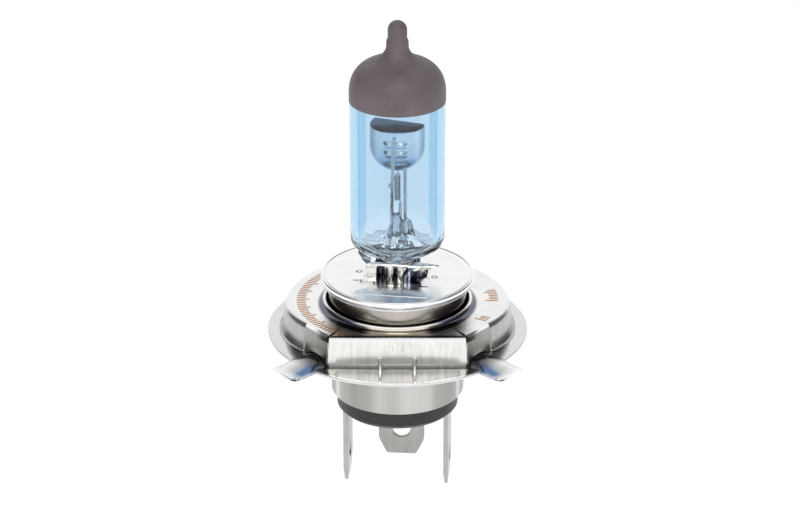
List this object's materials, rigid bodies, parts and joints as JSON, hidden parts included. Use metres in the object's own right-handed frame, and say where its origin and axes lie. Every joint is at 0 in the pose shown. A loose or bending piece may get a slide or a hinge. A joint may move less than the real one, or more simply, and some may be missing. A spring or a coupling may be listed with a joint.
{
  "type": "headlight bulb",
  "caption": "Twin-filament halogen headlight bulb: capped glass tube, focus ring with locating lugs, steel base shell and blade terminals.",
  "frame": {"origin": "on the bulb axis, in the plane of the flange plate's upper face, which seats in the headlight", "axes": "+Z along the bulb axis towards the glass tip; -Y towards the flat side of the focus ring; the wide lug is at +Y"},
  "size_m": [0.0428, 0.047, 0.0813],
  "materials": {
    "quartz_glass": "clear, light blue",
    "tip_coating": "satin grey-brown lacquer",
    "molybdenum": "satin",
    "tungsten": "satin",
    "lead_wire": "drawn wire",
    "bright_steel": "bright",
    "nickel_steel": "bright nickel",
    "satin_steel": "satin",
    "brushed_steel": "brushed",
    "black_insulator": "moulded satin",
    "blade_metal": "tin plated"
  },
  "bodies": {
    "root": {"glass_envelope": "quartz_glass", "tip_coating": "tip_coating", "beam_shield": "molybdenum", "low_beam_filament": "tungsten", "high_beam_filament": "tungsten", "shield_support_rod": "lead_wire", "low_beam_lead": "lead_wire", "high_beam_lead": "lead_wire", "seal_foil_common": "molybdenum", "seal_foil_low": "molybdenum", "seal_foil_high": "molybdenum", "outer_wire_common": "lead_wire", "outer_wire_low": "lead_wire", "outer_wire_high": "lead_wire", "pinch_clip": "bright_steel", "burner_disc": "bright_steel", "adjusting_sleeve": "nickel_steel", "focus_ring": "satin_steel", "flange_plate": "satin_steel", "base_shell": "brushed_steel", "insulator": "black_insulator", "terminal_left": "blade_metal", "terminal_right": "blade_metal", "terminal_middle": "blade_metal", "wire_welds": "blade_metal"}
  },
  "joints": []
}
